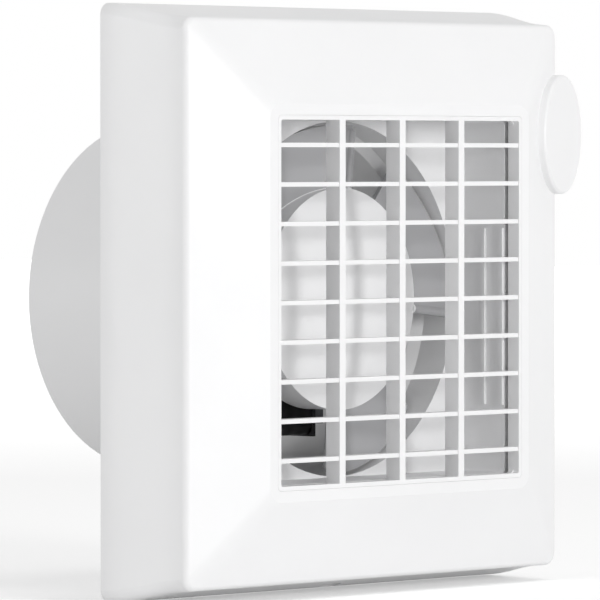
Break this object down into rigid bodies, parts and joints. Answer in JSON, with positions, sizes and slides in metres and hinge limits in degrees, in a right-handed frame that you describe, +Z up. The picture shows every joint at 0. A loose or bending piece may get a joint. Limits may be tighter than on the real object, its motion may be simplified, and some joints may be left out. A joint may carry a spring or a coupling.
{
  "type": "ventilation fan",
  "caption": "Square white wall fan with a lattice inlet grille, sloped margins, a round duct spigot and a domed impeller on a small shaded-pole motor.",
  "frame": {"origin": "on the fan's axis, in the plane where the housing meets the wall", "axes": "+Y along the spigot into the wall, so the grille faces -Y; +Z up; +X to the right seen from the room"},
  "size_m": [0.1748, 0.097, 0.1624],
  "materials": {
    "cover_white": "smooth white moulding, satin sheen",
    "disc_white": "smooth white moulding, plain face",
    "housing_white": "smooth white moulding",
    "impeller_white": "white moulding",
    "screw_steel": "zinc plated",
    "spring_steel": "spring strip",
    "shaft_steel": "ground",
    "rotor_metal": "cast end rings on a turned core",
    "lamination_steel": "varnished lamination stack",
    "copper": "bare copper",
    "bobbin_plastic": "moulded",
    "coil_tape": "taped over",
    "bracket_alloy": "die cast",
    "bush_bronze": "sintered",
    "felt": "oiled felt",
    "washer_plastic": "nylon",
    "terminal_plastic": "moulded",
    "terminal_brass": "turned",
    "clamp_plastic": "moulded",
    "grommet_rubber": "moulded",
    "lead_sleeve": "insulated wire"
  },
  "bodies": {
    "housing": {"front_cover": "cover_white", "inlet_grille": "cover_white", "edge_disc": "disc_white", "cover_screw": "screw_steel", "rear_housing": "housing_white", "stator_core": "lamination_steel", "shading_rings": "copper", "coil_core": "lamination_steel", "coil_bobbin": "bobbin_plastic", "coil_winding": "coil_tape", "front_bracket": "bracket_alloy", "rear_bracket": "bracket_alloy", "front_bush": "bush_bronze", "rear_bush": "bush_bronze", "bush_felts": "felt", "motor_screws": "screw_steel", "motor_nuts": "screw_steel", "terminal_block": "terminal_plastic", "terminal_screws": "terminal_brass", "cord_clamp": "clamp_plastic", "cord_clamp_screws": "screw_steel", "cable_grommet": "grommet_rubber", "motor_leads": "lead_sleeve"},
    "rotor": {"impeller": "impeller_white", "hub_clip": "spring_steel", "motor_shaft": "shaft_steel", "rotor_core": "rotor_metal", "thrust_washers": "washer_plastic"}
  },
  "joints": [
    {"name": "impeller_spin", "type": "hinge", "parent": "housing", "child": "rotor", "pos_m": [0, 0, 0], "axis": [0, 1, 0], "continuous": true}
  ]
}
